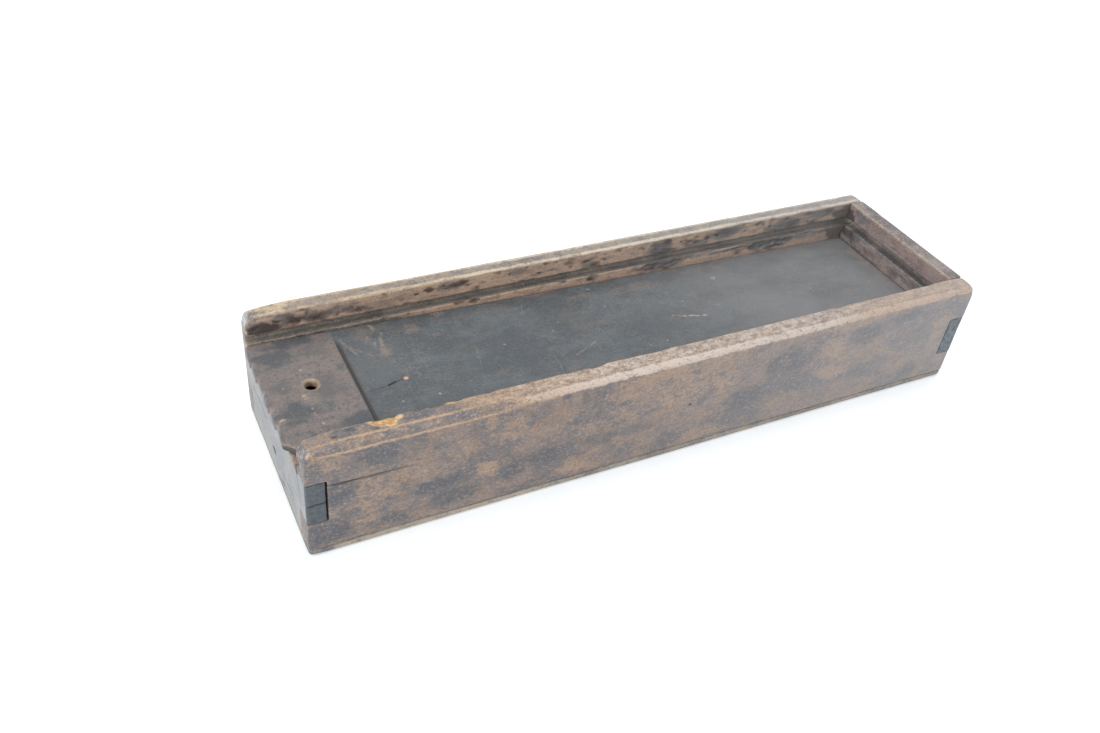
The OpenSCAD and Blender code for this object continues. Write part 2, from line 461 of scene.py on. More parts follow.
def side_wood(name, tones, seed, cracks, marks=()):
    """marks are knife and plane strokes, each a colour and its lines."""
    p = Paint(name)
    x = p.along(0)
    wear_and_highlight = p.blend(p.spread(x, NEAR_X + 45, NEAR_X + 95), colour(tones["wear_and_highlight_near"]), colour(tones["wear_and_highlight"]))
    wear_and_highlight = p.blend(p.spread(x, NEAR_X + 162, NEAR_X + 190), wear_and_highlight, colour(tones["wear_and_highlight_far"]))
    base = weathered(p, tones, seed, wear_and_highlight=wear_and_highlight)
    broken = p.spread(p.noise(1.4, 3.0, 0.7, seed + 8), 0.38, 0.56)
    for tone, rows in marks:
        base = p.blend(p.math("MULTIPLY", p.lines(rows), broken), base, colour(tone))
    base = p.blend(p.lines(cracks), base, colour("231b17"))
    # painted light: the boards lighten to grey toward the far end
    far = p.spread(x, NEAR_X + 60, FAR_X, 0.0, 0.28)
    p.set("Base Color", p.blend(far, base, colour("a8a8aa")))
    return p.material


def plain_wood(name, tones, seed):
    p = Paint(name)
    p.set("Base Color", weathered(p, tones, seed))
    return p.material


def end_wood(name, tones, seed, cracks):
    """End walls: board faces like the sides, and dark end grain where the tenons come through."""
    p = Paint(name)
    base = weathered(p, tones, seed, (0.9, 26, 0.9))
    outer = p.spread(p.math("ABSOLUTE", p.along(1)), BACK_Y - 1.2, BACK_Y - 0.5)
    pore = p.noise((1.2, 1.0, 1.0), 4.0, 0.6, seed + 6)
    end_grain = p.blend(p.spread(pore, 0.30, 0.70), colour(tones["end_dark"]), colour(tones["end_light"]))
    base = p.blend(outer, base, end_grain)
    p.set("Base Color", p.blend(p.lines(cracks), base, colour("120f0e")))
    return p.material


def lid_wood():
    """Brown and handled by the notch, slate-dark in the middle, and lightened to grey at the far end as
    painted light.
    """
    p = Paint("lid_wood")
    tones = dict(dark="505559", light="606569", tan="6d6863", pale="7d7873", deep="3c3f42", patina="44494f",
                 wear_and_highlight="a8958a", brown="897871", stain="34322f")
    base = weathered(p, tones, 33.0, (9, 1.2, 1.2))
    cloud = p.noise((30, 14, 14), 6.0, 0.6, 54.0)
    far_part = p.spread(p.along(0), NEAR_X + 100, NEAR_X + 200)
    far_painted_light = p.math("MULTIPLY", far_part, p.spread(cloud, 0.3, 0.6, 0.30, 0.60))
    base = p.blend(far_painted_light, base, colour("8a8888"))
    scratch_rows = [(at(*a, 0), at(*b, 0), width, 1.5, strength) for a, b, width, strength in (
        ((92, 25.4), (100.8, 29.7), 0.35, 0.35), ((100.8, 29.7), (100, 23.3), 0.35, 0.3),
        ((132.3, 34.2), (136, 33.2), 0.7, 0.35), ((136, 33), (143.8, 31.2), 0.6, 0.7),
        ((9.2, 32.8), (9.5, 31.4), 1, 0.7), ((10.2, 26.9), (10.3, 26.4), 0.5, 0.5),
        ((10.1, 24.4), (10.4, 24.1), 0.6, 0.6), ((10.9, 20.4), (11.2, 19.8), 0.7, 0.6),
        ((0.6, 24.3), (1.6, 24.9), 0.6, 0.8), ((36.6, 58.2), (38.5, 53), 1.1, 0.45),
        ((38.3, 53), (36.8, 46), 0.8, 0.3), ((26, 54), (29, 46), 0.6, 0.25),
        ((28, 50), (33, 44), 0.5, 0.25), ((84, 48), (87, 55), 0.4, 0.2), ((62, 30), (64, 40), 0.35, 0.2),
        ((84.5, 20), (85.5, 31), 0.3, 0.2), ((118, 43), (123, 47), 0.3, 0.2),
        ((150, 27), (158, 30), 0.3, 0.2), ((185, 40), (193, 46), 0.3, 0.2))]
    crack_rows = [(at(27.5, 29.4, 0), at(33, 30.1, 0), 0.22, 0.8, 0.55),
                  (at(33, 30.1, 0), at(35.3, 30.6, 0), 0.55, 0.8, 1.0),
                  (at(35.3, 30.6, 0), at(38.3, 31, 0), 0.25, 0.4, 0.7)]
    flat = (1.0, 1.0, 0.0)
    broken = p.spread(p.noise(1.6, 3.0, 0.7, 52.0), 0.40, 0.56)
    base = p.blend(p.math("MULTIPLY", p.lines(scratch_rows, flat), broken), base, colour("b39f88"))
    dots = p.noise((1.7, 1.7, 1.7), 0.0, 0.5, 51.0)
    base = p.blend(p.spread(dots, 0.79, 0.86, 0.0, 0.4), base, colour("b4bcc0"))
    base = p.blend(p.lines(crack_rows, flat), base, colour("101010"))
    knot = at(38.6, 31.1, 0)
    base = p.blend(p.line(knot, np.add(knot, (0.2, 0, 0)), 0.85, 0.0, flat), base, colour("cf9d80"))
    p.set("Base Color", base)
    return p.material


def stone_material():
    """Fine buff stone, darker and smoother where oil and steel have worked in."""
    p = Paint("hone_stone")
    cloud = p.noise(22.0, 4.0, 0.6, 61.0)
    grit = p.noise(0.5, 3.0, 0.7, 62.0)
    vein = p.noise((60, 5, 5), 3.0, 0.6, 63.0)
    base = p.blend(p.spread(cloud, 0.35, 0.65), colour("8f8a76"), colour("b3aa90"))
    base = p.blend(p.spread(vein, 0.55, 0.7, 0.0, 0.35), base, colour("6f7166"))
    base = p.blend(p.spread(grit, 0.55, 0.8, 0.0, 0.5), base, colour("cfc8b2"))
    base = p.blend(p.spread(grit, 0.42, 0.2, 0.0, 0.5), base, colour("5e5a4c"))
    base = p.blend(p.math("MULTIPLY", p.mask("stain"), 0.7), base, colour("4a463b"))
    base = p.blend(p.spread(p.mask("wear_and_highlight"), 0.2, 0.9, 0.0, 0.6), base, colour("d6cfba"))
    p.set("Base Color", base)
    p.set("Roughness", p.spread(p.mask("stain"), 0.0, 1.0, 0.8, 0.45))
    p.set("Normal", p.bump(grit, 0.06))
    return p.material


def iron_material():
    """Old brad iron, browned with rust."""
    p = Paint("brad_iron")
    rust = p.noise(0.8, 4.0, 0.65, 71.0)
    base = p.blend(p.spread(rust, 0.4, 0.62), colour("3d3a38"), colour("6d4a33"))
    p.set("Base Color", base)
    p.set("Roughness", p.spread(rust, 0.4, 0.62, 0.45, 0.85))
    p.set("Metallic", p.spread(rust, 0.42, 0.55, 0.9, 0.1))
    p.set("Normal", p.bump(rust, 0.08))
    return p.material


# -------------------------------- boards

def side_board(low, high, inner_y, outward, seed, near_slot, outer_wear):
    """A grooved side board with its open tenon slots. outward is -1 for the front side."""
    s = Sculpt(low, high, (0.85, 0.38, 0.33), seed, fine=(52.0, 0.43))
    outer_y = low[1] if outward < 0 else high[1]
    rim_wear = s.near((None, outer_y, RIM_Z), 3.0) * (1.0 + 0.25 * s.noise(9.0, 1))
    radius = 0.3 + outer_wear * rim_wear
    radius = radius + 0.9 * s.near((NEAR_X, None, RIM_Z), 4.0) + 0.4 * s.near((FAR_X, None, RIM_Z), 2.5)
    radius = radius + 0.2 * s.near((None, inner_y, RIM_Z), 2.0) * (1.0 + s.noise(4.0, 2))
    s.d = s.box_distance(low, high, np.minimum(radius, 2.2))
    lean_x = np.maximum(NEAR_X + RIM_R - s.x, 0.0)
    lean_z = np.maximum(s.z - RIM_Z + RIM_R, 0.0)
    s.d = np.maximum(s.d, np.sqrt(lean_x ** 2 + lean_z ** 2) - RIM_R)
    quiet = 1.0 - 0.8 * s.near((NEAR_X, None, None), 9.0) - 0.8 * s.near((FAR_X, None, None), 9.0)
    s.dent(quiet * (0.07 * (1.0 + s.noise((28, 9, 9), 3)) + 0.04 * (1.0 + s.noise((6, 2.5, 2.5), 4))))
    s.dent(0.55 * s.near((NEAR_X + 1.0, None, RIM_Z), (6.0, 1.0, 3.5)))
    ragged = 0.35 * s.near((None, inner_y, RIM_Z), 2.2) * np.maximum(s.noise((3.5, 2.0, 2.0), 7) - 0.1, 0.0)
    s.dent(ragged * quiet)
    groove = sorted((inner_y - outward, inner_y + GROOVE_DEPTH * outward))
    s.cut_box((low[0] - BEYOND, groove[0], GROOVE_Z),
              (INNER_FAR_X + GROOVE_DEPTH, groove[1], LIP_Z))
    s.cut_box((low[0] - BEYOND, low[1] - BEYOND, NEAR_TENON_Z),
              (low[0] + near_slot, high[1] + BEYOND, NEAR_TENON_TOP), 0.05)
    s.cut_box((INNER_FAR_X, low[1] - BEYOND, FAR_TENON_Z),
              (high[0] + BEYOND, high[1] + BEYOND, FAR_TENON_TOP), 0.05)
    # the outer top arris is painted pale: wear, and a painted highlight
    from_arris = np.sqrt((s.y - outer_y) ** 2 + (s.z - RIM_Z) ** 2) + 0.25 * s.noise((5, 2, 2), 8)
    s.paint("wear_and_highlight", smooth(from_arris, 2.7, 1.2))
    return s


def patches(s, name, across, deep, rows):
    """Spots on a side board's face: place along, height, reach along, reach up and amount."""
    for along, up, wide, tall, amount in rows:
        s.patch(name, at(along, across, up), (wide, deep, tall), amount)


def upright_marks(width, rows):
    """Strokes down the front face: place along, lean, top, bottom and strength."""
    return [(at(x, 0, top), at(x + lean, 0, bottom), width, 0.8, strength)
            for x, lean, top, bottom, strength in rows]


def front_side():
    end_t = INNER_NEAR_X - NEAR_X
    s = side_board(FRONT_LOW, FRONT_HIGH, INNER_FRONT_Y, -1.0, 1, end_t + JOINT_GAP, 1.3)
    inner = INNER_FRONT_Y - FRONT_Y
    # flakes broken from the rim's inner edge, one still fresh
    s.chip(at(23.6, inner + 0.8, RIM_Z + 0.7), (4.6, 4.4, 1.7), 0.35, 51, bare=0.85)
    s.chip(at(36.5, inner + 0.2, RIM_Z + 0.3), (5.2, 1.4, 1.2), 0.5, 52, stain=0.8)
    s.chip(at(44.0, inner, RIM_Z + 0.2), (3.0, 0.9, 0.8), 0.3, 53, bare=0.7)
    s.chip(at(87.0, inner, RIM_Z), (3.2, 0.8, 0.9), 0.3, 54)
    for along, across in (
            (116.2, 4.7), (153.3, 3.6), (158.6, 3.1), (164, 4.2), (168.2, 3.3), (9.2, 4), (14, 5.4),
            (20, 3.6), (131, 4.2)):
        s.patch("stain", at(along, across, RIM_Z), (1.4, 0.9, 1.0), 0.75)
    for along, across, wide in (
            (13, 4.5, 5), (33, 4.6, 7), (100, 5.5, 6), (192, 5, 8)):
        s.patch("patina", at(along, across, RIM_Z), (wide, 1.8, 1.0), 0.8)
    s.patch("patina", at(0.3, 3.0, RIM_Z - 2.6), (1.8, 4.5, 3.0), 0.9)
    # painted sheen: grey-blue spots on the rounded near corner
    s.patch("chalk_and_sheen", at(1.2, 1.2, RIM_Z - 1.2), (2.4, 1.8, 1.6), 0.42)
    s.patch("chalk_and_sheen", at(0.2, 4.4, RIM_Z - 2.2), (1.4, 2.4, 2.4), 0.30)
    # along the near stretch the rubbed arris is a grey flat between two pale lines
    from_arris = np.sqrt((s.y - FRONT_Y) ** 2 + (s.z - RIM_Z) ** 2) + 0.2 * s.noise((5, 2, 2), 9)
    near_part = smooth(s.x - NEAR_X, 66.0, 46.0) * smooth(s.x - NEAR_X, 1.5, 4.5)
    lines = smooth(np.abs(from_arris - 2.4), 0.75, 0.25) * (0.8 + 0.4 * s.noise((7, 9, 9), 10))
    s.masks["wear_and_highlight"] = s.masks["wear_and_highlight"] * (1.0 - near_part) + 1.1 * near_part * lines
    s.paint("chalk_and_sheen", 0.30 * near_part * smooth(from_arris, 2.1, 1.5))
    # splits in the outer face
    split_z = 25.3 - 0.024 * (s.x - NEAR_X) + 0.25 * s.noise((6, 40, 40), 5)
    opening = np.maximum(1.0 - np.abs(s.z - split_z) / 0.35, 0.0)
    reach = smooth(s.x - NEAR_X, 36.0, 14.0) * s.near((None, FRONT_Y, None), 1.2)
    s.dent(0.40 * opening * reach)
    s.worm(at(119.0, 0.0, 19.1), 0.45)
    # plane and knife marks across the upper half
    marks = s.noise((1.1, 30, 9), 6) * s.near(at(72.0, 0.0, 32.0), (30, 1.5, 7))
    s.dent(0.16 * np.maximum(marks - 0.1, 0.0))
    # bluish handling patina in broad soft blotches, and warm wood between them
    patches(s, "patina", 0, 2.5, (
        (9, 22, 4.5, 5, 1), (5, 7, 8, 5, 1), (20, 32, 8, 5, 0.8), (31, 33, 4, 4, 0.6),
        (37, 14.5, 10, 3.2, 0.9), (42, 8.5, 8, 3.5, 0.8), (60, 12, 5, 4.5, 0.8), (71, 14, 8, 4, 0.8),
        (68, 32, 5, 4, 0.5), (88, 15, 8, 3, 0.7), (100, 15, 8, 3, 0.6), (24, 6.5, 4.5, 2.5, 0.7),
        (75, 35.5, 1.4, 1.5, 1), (110, 5, 4, 4, 0.5), (155, 26, 11, 5.5, 1), (141, 16, 9, 5.5, 0.85),
        (160, 17, 8, 4, 0.6), (186, 30, 8, 4.5, 0.8), (202, 33, 7, 3.5, 0.8), (211, 7, 5, 4, 0.7),
        (190, 14, 8, 4, 0.5), (208, 26, 5, 3, 0.5), (87, 34, 4, 3, 0.5)))
    patches(s, "brown", 0, 2.0, (
        (18, 18, 7, 6, 0.8), (16, 10, 5, 5, 0.7), (30, 22, 7, 4, 0.5), (52, 15.5, 4.2, 3.2, 1),
        (79, 6.5, 6, 3, 0.9), (60, 29, 5, 5, 0.7), (52, 33, 2, 3, 0.8), (66, 26.5, 1.6, 2.4, 0.9),
        (92, 22, 14, 5, 0.5), (98, 31, 14, 4, 0.7), (118, 27, 14, 7, 0.8), (132, 25, 6, 5, 0.7),
        (125, 5, 12, 4, 0.6), (172, 27, 6, 5, 0.9), (175, 17, 9, 4, 0.8), (219, 22, 3, 8, 0.8),
        (180, 35.5, 14, 2.5, 0.9), (102, 34, 16, 3, 0.9), (125, 34, 12, 3, 0.8), (8, 33, 6, 3.5, 0.6),
        (4, 35.6, 4, 2.2, 0.8), (45, 24, 5, 3, 0.4)))
    s.patch("bare", at(73.6, 0, 31), (0.7, 1.5, 2.8), 0.30)
    s.patch("bare", at(52.3, 0, 15.5), (3.2, 1.5, 2.6), 0.22)
    # the rim's top is painted pale beyond the near stretch: wear, and a painted sheen
    rim_top = smooth(s.z, RIM_Z - 0.8, RIM_Z - 0.3) * smooth(s.y, FRONT_Y + 1.6, FRONT_Y + 2.4)
    s.paint("wear_and_highlight", 0.72 * rim_top * smooth(s.x, NEAR_X + 38.0, NEAR_X + 50.0))
    s.paint("brown", 0.8 * smooth(s.y, INNER_FRONT_Y - 0.8, INNER_FRONT_Y - 0.2))
    s.mark_wear(rub=0.25)
    tones = dict(dark="666366", light="897a73", tan="9a8068", pale="bba58f", deep="4c4a4a", patina="50555e",
                 wear_and_highlight="cfbfb4", wear_and_highlight_near="b99a80", wear_and_highlight_far="bea088", brown="a28874", stain="332e2c")
    cracks = [(at(6.2, 0.2, 25.2), at(24, 0.2, 24.9), 0.22, 1.2, 0.8),
              (at(24, 0.2, 24.9), at(44, 0.2, 24.3), 0.16, 1.5, 0.45)]
    dark_marks = upright_marks(0.32, (
        (73.6, 0.2, 36, 30.5, 0.6), (76.2, -0.2, 36, 32, 0.45), (87, 0.1, 36, 30, 0.5),
        (88.6, 0, 35.5, 30.5, 0.4), (91.2, 0.2, 36, 29.5, 0.55), (82, 0.2, 36, 33, 0.3),
        (64, 0.2, 35, 31, 0.3)))
    rust_marks = upright_marks(0.9, (
        (52.3, 0.1, 35.2, 32, 0.7), (58, -0.1, 31.5, 28, 0.7), (66, 0.1, 28.8, 25, 0.7),
        (34, 0.2, 34, 26, 0.35), (47.5, 0.2, 33, 27, 0.35), (73.3, 0.3, 33.5, 29.4, 0.8)))
    tan_marks = [(at(83, 0, 29.5), at(88, 0, 29.1), 0.28, 0.6, 0.6),
                 (at(48, 0, 18.5), at(53, 0, 17.5), 0.3, 0.6, 0.5),
                 (at(49, 0, 14.6), at(55, 0, 14.2), 0.3, 0.6, 0.5),
                 (at(50, 0, 12.6), at(55, 0, 12.2), 0.35, 0.6, 0.5)]
    marks = [("4e4a49", dark_marks), ("98745c", rust_marks), ("c4ad8a", tan_marks)]
    s.build("front_side", side_wood("side_wood_front", tones, 3.0, cracks, marks), CASE, "side_wood")


def back_side():
    s = side_board(BACK_LOW, BACK_HIGH, INNER_BACK_Y, 1.0, 2, INNER_NEAR_X - NEAR_X, 1.0)
    inner = INNER_BACK_Y - FRONT_Y
    inner_face = smooth(s.y, INNER_BACK_Y + 0.8, INNER_BACK_Y + 0.2)
    near_part = smooth(s.x - NEAR_X, 58.0, 40.0)
    far_part = smooth(s.x - NEAR_X, 105, 150)
    under_lip = 0.8 * near_part * smooth(s.z, LIP_Z, GROOVE_Z)
    s.paint("brown", inner_face * smooth(s.z, 18.0, 22.0) * (1.0 - under_lip))
    # the arris above the groove is painted pale: rubbed wear, and a painted highlight
    from_arris = np.sqrt((s.y - INNER_BACK_Y) ** 2 + (s.z - RIM_Z) ** 2) + 0.3 * s.noise((4, 1.5, 1.5), 9)
    arris = smooth(np.abs(from_arris - 1.0), 1.0, 0.4) * smooth(s.z, RIM_Z - 1.0, RIM_Z - 0.3)
    s.paint("wear_and_highlight", arris * (1.0 - 0.35 * near_part + 0.3 * s.noise((11, 40, 40), 10)))
    s.patch("wear_and_highlight", at(8.0, inner + 3.6, RIM_Z), (8, 2.2, 2.0), 0.8)
    # broken stretches of the lid rail, and the mouldered face of the lip
    for k, (along, up, long, tall, dark) in enumerate((
            (67.5, 28.5, 2, 0.8, 0.9), (72.5, 28.4, 1.8, 0.9, 1), (104, 28.3, 1.4, 1, 0.5),
            (115.5, 28, 1.6, 1.8, 0.9), (143, 28, 8.4, 2.2, 0.8), (155, 28.6, 2.6, 0.9, 0.9),
            (176, 27.2, 2.2, 1.8, 0.9), (190, 27.2, 8.4, 2.2, 0.9), (206, 28.4, 3, 1, 0.7),
            (163, 28.7, 2, 0.6, 0.5))):
        s.chip(at(along, inner, up), (long, 0.7, tall), 0.45, 51 + k, stain=dark)
    rot = s.noise((2.6, 1.3, 1.3), 11) + 0.6 * s.noise((1.2, 0.7, 0.7), 12)
    density = 0.56 + 0.24 * far_part + 0.25 * near_part
    band = inner_face * smooth(s.z, 26.5, 27.5)
    s.paint("stain", 0.75 * band * smooth(rot, 0.85 - density, 1.45 - density))
    drift = s.noise((7, 3.0, 2.0), 16) + 0.5 * s.noise((2.5, 1.2, 1.2), 17)
    s.paint("patina", 0.8 * band * smooth(drift, 0.45 - 0.3 * far_part, 0.9))
    speck = s.noise((1.0, 0.6, 0.6), 14) + 0.5 * s.noise((3.0, 1.5, 1.5), 15)
    s.paint("stain", 0.75 * band * smooth(speck, 0.55, 0.85))
    s.dent(0.25 * band * smooth(rot, 0.55, 0.9))
    # the last two rows darken the far inner corner as painted shade; the others are stains
    patches(s, "stain", inner, 1.2, (
        (5, 33.2, 6, 1.9, 1.9), (8, 33, 9, 1.2, 1.5), (14, 34, 4, 2.4, 1.2), (16, 37.4, 3.2, 0.6, 0.9),
        (23, 33.8, 6.5, 1.6, 1), (33, 34, 6, 1.6, 0.8), (44, 34, 6, 1.8, 0.6), (60, 33, 9, 0.9, 0.5),
        (66, 36, 3.4, 1.1, 0.9), (72.5, 33, 1.8, 0.9, 1), (80, 37.4, 1.2, 0.8, 0.9),
        (97, 37.3, 1.5, 0.9, 1), (106, 36, 3, 2.2, 0.8), (115.5, 33.6, 2.4, 1.2, 0.9),
        (124.5, 37, 1.8, 1, 0.9), (139, 34.5, 1.6, 2.2, 0.9), (144, 36.8, 2.4, 1.4, 0.9),
        (145, 32.8, 5, 1.2, 0.9), (153, 33.6, 2, 1.2, 0.9), (168, 36.3, 3.5, 1.6, 0.9),
        (174, 37.6, 2.4, 0.9, 0.9), (183, 37, 2.6, 1, 0.9), (188, 36.6, 1.6, 1.8, 0.9),
        (191, 32.4, 3.5, 1, 1), (198, 34.5, 4, 1.6, 0.9), (204, 37, 3, 1.2, 0.9), (214, 36.5, 3, 1.8, 0.9),
        (222, 34, 5, 4, 1.5), (221, 27, 6, 4, 1.5)))
    for k, along in enumerate((4, 11, 20, 29, 38, 47)):
        s.patch("patina", at(along, inner, 34.0 + 1.2 * (k % 2)), (7, 1.2, 2.6), 0.9 - 0.1 * k)
    patches(s, "patina", inner, 1.2, (
        (143.5, 27.6, 8, 2, 1.4), (190, 27.2, 9, 2.2, 1.4), (141, 34, 5, 4, 1), (168, 36, 8, 3, 1),
        (196, 34, 9, 3.5, 1), (212, 36, 8, 2, 0.9), (206, 28, 6, 2, 0.9), (156, 33, 7, 1.8, 0.8),
        (113, 34, 4, 3, 0.7), (88, 36, 5, 1.6, 0.6), (64, 36, 6, 1.8, 0.7)))
    for along in (11.0, 24.5):
        clean = s.near(at(along, inner, 33.6), (2.0, 1.2, 1.3))
        s.masks["stain"] = s.masks["stain"] * (1.0 - 0.8 * clean)
    for along, up in ((61, 36.2), (84, 35.6), (90.5, 37), (101, 36.8), (149.5, 35.2), (165, 35), (188, 34.5)):
        s.worm(at(along, inner, up), 0.4)
    s.paint("chalk_and_sheen", 1.6 * s.near(at(75.2, inner + 2.4, 31.0), (0.7, 1.2, 1.0)))
    # painted sheen: a grey-blue spot on the rounded near corner
    s.patch("chalk_and_sheen", at(1.0, inner + 4.0, RIM_Z - 3.0), (1.8, 3.0, 3.0), 0.9)
    s.mark_wear(rub=0.35)
    # in the groove the painted shade is taken out and a pale grey painted in, as painted light where the
    # groove floor catches the bright surroundings
    in_groove = smooth(s.y, INNER_BACK_Y + 0.2, INNER_BACK_Y + 0.8) * smooth(s.z, GROOVE_Z - 0.6, GROOVE_Z)
    in_groove = in_groove * smooth(s.z, LIP_Z + 0.6, LIP_Z)
    in_groove = in_groove * smooth(s.y, INNER_BACK_Y + 3.4, INNER_BACK_Y + 3.0)
    s.masks["painted_shade"] = s.masks["painted_shade"] * (1.0 - in_groove)
    s.paint("chalk_and_sheen", 0.30 * in_groove)
    tones = dict(dark="6f6b68", light="948a81", tan="a08d79", pale="b8a590", deep="55504b", patina="5c5d61",
                 wear_and_highlight="cfc0ae", wear_and_highlight_near="cbb597", wear_and_highlight_far="c9bdb4", brown="d2ae95", stain="463833")
    cracks = [(at(20, inner + 6, 12), at(90, inner + 6, 13.5), 0.25, 1.5, 0.8),
              (at(150, inner + 6, 27), at(224, inner + 6, 25.5), 0.2, 1.5, 0.6)]
    s.build("back_side", side_wood("side_wood_back", tones, 7.0, cracks), CASE, "side_wood")


def end_wall(low, high, top, tenon_low, tenon_high, seed):
    """An end board standing between the sides, with its tenons running out through them."""
    s = Sculpt(low, high, (0.3, 0.4, 0.22), seed)
    radius = 0.3 + 0.2 * s.noise(5.0, 1)
    board = s.box_distance((low[0], INNER_FRONT_Y, low[2]), (high[0], INNER_BACK_Y, top), radius)
    shared_top = min(top, tenon_high)
    front = s.box_distance((low[0], low[1], tenon_low), (high[0], INNER_FRONT_Y + 1.2, shared_top), 0.2)
    back = s.box_distance((low[0], INNER_BACK_Y - 1.2, tenon_low), (high[0], high[1], shared_top), 0.2)
    s.d = np.minimum(board, np.minimum(front, back))
    if tenon_high > top:
        for y_low, y_high in ((low[1], INNER_FRONT_Y), (INNER_BACK_Y, high[1])):
            tenon = s.box_distance((low[0], y_low, tenon_low), (high[0], y_high, tenon_high), 0.2)
            s.d = np.minimum(s.d, tenon)
    s.dent(0.05 * (1.0 + s.noise((9, 20, 7), 2)))
    return s


def near_end_wall():
    s = end_wall(NEAR_LOW, NEAR_HIGH, NEAR_TOP, NEAR_TENON_Z, NEAR_TENON_TOP, 3)
    # the front tenon has split across, and the wall's face has opened along the grain
    split_z = 19.2 + 0.3 * s.noise((3, 3, 30), 3)
    s.cut(np.maximum(np.abs(s.z - split_z) - 0.13, s.y - FRONT_Y - 1.6))
    for k, (up, start, end) in enumerate(((20.5, 30, 44), (9.0, 14, 26), (15.5, 40, 58))):
        here = smooth(s.y - FRONT_Y, start, start + 3) * smooth(s.y - FRONT_Y, end, end - 3)
        line = up + 0.5 * s.noise((30, 5, 30), 5 + k)
        opening = np.maximum(1.0 - np.abs(s.z - line) / 0.35, 0.0)
        s.dent(0.5 * here * opening * s.near((NEAR_X, None, None), 0.8))
    s.chip(at(0, 34, 9.5), (0.7, 1.6, 0.9), 0.3, 52, stain=0.9)
    s.chip(at(0, 26, 4.2), (0.5, 1.3, 0.8), 0.3, 53, stain=0.7)
    # the wall has shrunk away from the front side below its tenon
    gap = s.y - INNER_FRONT_Y - 0.9 - 0.3 * s.noise((30, 30, 4), 9) + 0.04 * s.z
    s.cut(np.maximum(np.maximum(gap, s.x - NEAR_X - 2.6), s.z - NEAR_TENON_Z + 0.6))
    s.chip(at(0.2, 8.2, NEAR_TOP + 0.2), (2.2, 1.5, 1.4), 0.2, 54, stain=1.0)
    s.patch("brown", at(1.5, 12, NEAR_TOP), (6, 7, 1.2))
    s.mark_wear(1.0, rub=0.4)
    tones = dict(dark="818386", light="99999a", tan="998f89", pale="a6a2a0", deep="626568", patina="757a80",
                 wear_and_highlight="b8b4b2", brown="8d6a50", stain="4a4d52", end_dark="42484c", end_light="565d61")
    cracks = [(at(0, 0, 19.2), at(5.5, 0, 19.5), 0.20, 0.6, 1.0),
              (at(1, 0, 23.6), at(3.5, 0, 23.4), 0.12, 0.5, 0.4),
              (at(0, 7.6, 25.5), at(0, 6.6, 20), 0.35, 0.8, 1.0),
              (at(0, 6.6, 20), at(0, 5.5, 15), 0.25, 0.8, 0.6)]
    s.build("near_end_wall", end_wood("end_wood_near", tones, 13.0, cracks), CASE, "end_wood")


def far_end_wall():
    s = end_wall(FAR_LOW, FAR_HIGH, RIM_Z, FAR_TENON_Z, FAR_TENON_TOP, 4)
    s.cut_box((INNER_FAR_X - BEYOND, INNER_FRONT_Y - BEYOND, GROOVE_Z),
              (INNER_FAR_X + GROOVE_DEPTH, INNER_BACK_Y + BEYOND, LIP_Z))
    face_x = INNER_FAR_X - NEAR_X
    inside = smooth(s.x, INNER_FAR_X + 0.8, INNER_FAR_X + 0.2)
    s.paint("brown", 0.75 * inside * smooth(s.z, 31.0, 32.5))
    arris = np.sqrt((s.x - INNER_FAR_X) ** 2 + (s.z - RIM_Z) ** 2) + 0.4 * s.noise((1.5, 4, 1.5), 8)
    s.paint("wear_and_highlight", 0.55 * smooth(arris, 1.5, 0.6))
    rot = s.noise((1.3, 3.0, 1.3), 11) + 0.6 * s.noise((0.7, 1.2, 0.7), 12)
    s.paint("stain", 0.5 * inside * smooth(rot, 0.4, 1.0))
    # the first two rows darken the back corner and the three rows at 26 mm darken the face just above the
    # lid, as painted shade; the others are stains
    for across, up, wide, tall, dark in (
            (58, 33.5, 3, 3, 1.1), (57, 27, 6, 2.6, 1.1), (40, 37, 2, 1.5, 0.5), (20, 35, 1.5, 3, 0.5),
            (22, 26, 8, 1.5, 0.7), (45, 26, 6, 1.5, 0.6), (30, 26, 5, 1.2, 0.6)):
        s.patch("stain", at(face_x, across, up), (1.5, wide, tall), dark)
    for across, up, wide, tall in (
            (52, 36, 4, 2.5), (50, 30, 8, 2.5), (35, 30, 9, 2.5), (20, 30, 7, 2.5)):
        s.patch("patina", at(face_x, across, up), (3.5, wide, tall), 0.9)
    s.mark_wear(1.0, rub=0.3)
    s.masks["painted_shade"] = s.masks["painted_shade"] * 0.55
    tones = dict(dark="6c6665", light="918884", tan="9b877d", pale="b3a199", deep="4f4745", patina="64666b",
                 wear_and_highlight="c2b2a3", brown="927b75", stain="453c3c", end_dark="4d5459", end_light="727a7f")
    cracks = [(at(224.6, 20, 34.2), at(224.6, 44, 33.6), 0.16, 1.0, 0.4)]
    s.build("far_end_wall", end_wood("end_wood_far", tones, 17.0, cracks), CASE, "end_wood")


